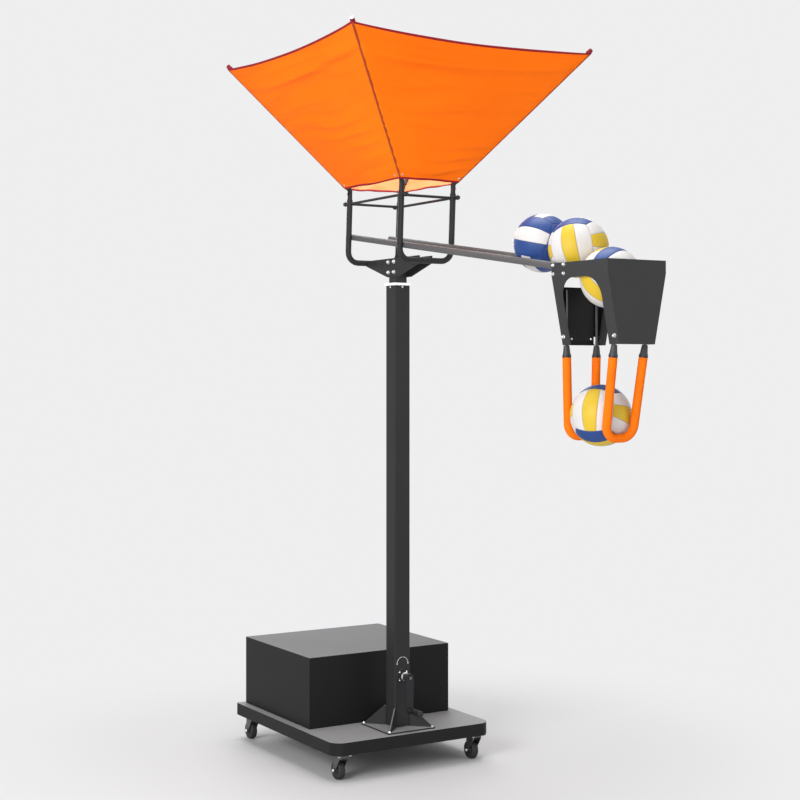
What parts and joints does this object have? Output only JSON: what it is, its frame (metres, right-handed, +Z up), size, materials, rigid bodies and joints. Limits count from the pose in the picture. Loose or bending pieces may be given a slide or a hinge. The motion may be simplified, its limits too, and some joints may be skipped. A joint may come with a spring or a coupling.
{
  "type": "volleyball training machine",
  "caption": "Free-standing ball feeder: catching funnel on a crank-up mast, sloping ball rails and chute with a padded ball holder, on a weighted base with swivel casters.",
  "frame": {"origin": "middle of the object's bounding box, at floor level under the wheels", "axes": "+Z up along the mast; +X across the base, towards the viewer's right hand seen from the ball arm's end; the ball arm points along -Y"},
  "size_m": [1.098, 2.2544, 2.8791],
  "materials": {
    "charcoal_powder": "satin",
    "deck_powder": "matte",
    "zinc_steel": "satin",
    "cast_iron": "matte",
    "white_nylon": "satin",
    "black_plastic": "satin",
    "wheel_rubber": "matte",
    "orange_foam": "matte",
    "orange_cloth": "matte",
    "brass": "satin",
    "ball_skin": "satin"
  },
  "bodies": {
    "base": {"deck_tray": "deck_powder", "underframe": "charcoal_powder", "counterweight_cover": "deck_powder", "ballast_block_1": "cast_iron", "ballast_block_2": "cast_iron", "mast_foot": "charcoal_powder", "mast_outer_tube": "charcoal_powder", "mast_guide_bush": "white_nylon", "crank_bearing_flange": "charcoal_powder", "lift_gearbox": "cast_iron", "caster_plate_front_left": "zinc_steel", "caster_plate_front_right": "zinc_steel", "caster_plate_rear_left": "zinc_steel", "caster_plate_rear_right": "zinc_steel"},
    "lift": {"mast_inner_tube": "charcoal_powder", "screw_nut": "brass", "head_bracket_left": "charcoal_powder", "head_bracket_right": "charcoal_powder", "upright_frame_front": "charcoal_powder", "upright_frame_rear": "charcoal_powder", "ring_rod_left": "charcoal_powder", "ring_rod_right": "charcoal_powder", "funnel_pole_front_left": "black_plastic", "funnel_pole_front_right": "black_plastic", "funnel_pole_rear_left": "black_plastic", "funnel_pole_rear_right": "black_plastic", "funnel_net": "orange_cloth", "ball_rail_left": "charcoal_powder", "ball_rail_right": "charcoal_powder", "chute_shell": "charcoal_powder", "chute_rear_panel": "charcoal_powder", "ball_3": "ball_skin"},
    "crank": {"crank_shaft": "zinc_steel", "crank_arm": "charcoal_powder"},
    "grip": {"crank_grip": "black_plastic"},
    "screw": {"lead_screw": "zinc_steel"},
    "front_arm": {"front_arm_rod": "zinc_steel", "front_arm_foam": "orange_foam"},
    "rear_arm": {"rear_arm_rod": "zinc_steel", "rear_arm_foam": "orange_foam"},
    "rail_ball_upper": {"ball_1": "ball_skin"},
    "rail_ball_lower": {"ball_2": "ball_skin"},
    "held_ball": {"ball_4": "ball_skin"},
    "fork_front_left": {"caster_fork_front_left": "zinc_steel"},
    "wheel_front_left": {"caster_wheel_front_left": "wheel_rubber"},
    "knob_front_left": {"clamp_knob_front_left": "black_plastic"},
    "fork_front_right": {"caster_fork_front_right": "zinc_steel"},
    "wheel_front_right": {"caster_wheel_front_right": "wheel_rubber"},
    "knob_front_right": {"clamp_knob_front_right": "black_plastic"},
    "fork_rear_left": {"caster_fork_rear_left": "zinc_steel"},
    "wheel_rear_left": {"caster_wheel_rear_left": "wheel_rubber"},
    "knob_rear_left": {"clamp_knob_rear_left": "black_plastic"},
    "fork_rear_right": {"caster_fork_rear_right": "zinc_steel"},
    "wheel_rear_right": {"caster_wheel_rear_right": "wheel_rubber"},
    "knob_rear_right": {"clamp_knob_rear_right": "black_plastic"}
  },
  "joints": [
    {"name": "mast_lift", "type": "slide", "parent": "base", "child": "lift", "axis": [0, 0, 1], "range_m": [0, 0.8]},
    {"name": "crank_turn", "type": "hinge", "parent": "base", "child": "crank", "pos_m": [0, 0.31175, 0.37], "axis": [0, -1, 0], "range_deg": [0, 14402]},
    {"name": "lead_screw_turn", "type": "hinge", "parent": "base", "child": "screw", "pos_m": [0, 0.37175, 0.5], "axis": [0, 0, 1], "range_deg": [0, 14402]},
    {"name": "grip_spin", "type": "hinge", "parent": "crank", "child": "grip", "pos_m": [0, 0.24175, 0.239], "axis": [0, -1, 0], "continuous": true},
    {"name": "swivel_front_left", "type": "hinge", "parent": "base", "child": "fork_front_left", "pos_m": [-0.315, 0.28575, 0.1], "axis": [0, 0, 1], "continuous": true},
    {"name": "wheel_spin_front_left", "type": "hinge", "parent": "fork_front_left", "child": "wheel_front_left", "pos_m": [-0.315, 0.30575, 0.0375], "axis": [1, 0, 0], "continuous": true},
    {"name": "swivel_front_right", "type": "hinge", "parent": "base", "child": "fork_front_right", "pos_m": [0.315, 0.28575, 0.1], "axis": [0, 0, 1], "continuous": true},
    {"name": "wheel_spin_front_right", "type": "hinge", "parent": "fork_front_right", "child": "wheel_front_right", "pos_m": [0.315, 0.30575, 0.0375], "axis": [1, 0, 0], "continuous": true},
    {"name": "swivel_rear_left", "type": "hinge", "parent": "base", "child": "fork_rear_left", "pos_m": [-0.315, 1.06975, 0.1], "axis": [0, 0, 1], "continuous": true},
    {"name": "wheel_spin_rear_left", "type": "hinge", "parent": "fork_rear_left", "child": "wheel_rear_left", "pos_m": [-0.315, 1.08975, 0.0375], "axis": [1, 0, 0], "continuous": true},
    {"name": "swivel_rear_right", "type": "hinge", "parent": "base", "child": "fork_rear_right", "pos_m": [0.315, 1.06975, 0.1], "axis": [0, 0, 1], "continuous": true},
    {"name": "wheel_spin_rear_right", "type": "hinge", "parent": "fork_rear_right", "child": "wheel_rear_right", "pos_m": [0.315, 1.08975, 0.0375], "axis": [1, 0, 0], "continuous": true},
    {"name": "knob_turn_front_left", "type": "hinge", "parent": "lift", "child": "knob_front_left", "pos_m": [-0.1205, 0.14761, 2.299], "axis": [0, -0.9984, -0.0558], "range_deg": [0, 1080]},
    {"name": "knob_turn_front_right", "type": "hinge", "parent": "lift", "child": "knob_front_right", "pos_m": [0.1205, 0.14761, 2.299], "axis": [0, -0.9984, -0.0558], "range_deg": [0, 1080]},
    {"name": "knob_turn_rear_left", "type": "hinge", "parent": "lift", "child": "knob_rear_left", "pos_m": [-0.1205, 0.55822, 2.299], "axis": [0, 0.9984, 0.0558], "range_deg": [0, 1080]},
    {"name": "knob_turn_rear_right", "type": "hinge", "parent": "lift", "child": "knob_rear_right", "pos_m": [0.1205, 0.55822, 2.299], "axis": [0, 0.9984, 0.0558], "range_deg": [0, 1080]},
    {"name": "front_arm_swing", "type": "hinge", "parent": "lift", "child": "front_arm", "pos_m": [0, -1.09175, 1.7265], "axis": [-1, 0, 0], "range_deg": [0, 6], "stiffness_Nm_per_rad": 8, "springref_deg": -3.44},
    {"name": "rear_arm_swing", "type": "hinge", "parent": "lift", "child": "rear_arm", "pos_m": [0, -0.83605, 1.7265], "axis": [1, 0, 0], "range_deg": [0, 6], "stiffness_Nm_per_rad": 8, "springref_deg": -3.44},
    {"name": "rail_ball_upper_roll", "type": "slide", "parent": "lift", "child": "rail_ball_upper", "axis": [0, 0.9902, 0.14], "range_m": [0, 0.4]},
    {"name": "rail_ball_lower_roll", "type": "slide", "parent": "lift", "child": "rail_ball_lower", "axis": [0, 0.9902, 0.14], "range_m": [0, 0.4]},
    {"name": "held_ball_lift", "type": "slide", "parent": "lift", "child": "held_ball", "axis": [0, 0, 1], "range_m": [0, 0.09]}
  ],
  "couplings": [
    {"joint": "crank_turn", "follows": "mast_lift", "rad_per_m": 314.16},
    {"joint": "lead_screw_turn", "follows": "mast_lift", "rad_per_m": 314.16},
    {"joint": "rail_ball_lower_roll", "follows": "rail_ball_upper_roll", "ratio": 1}
  ]
}
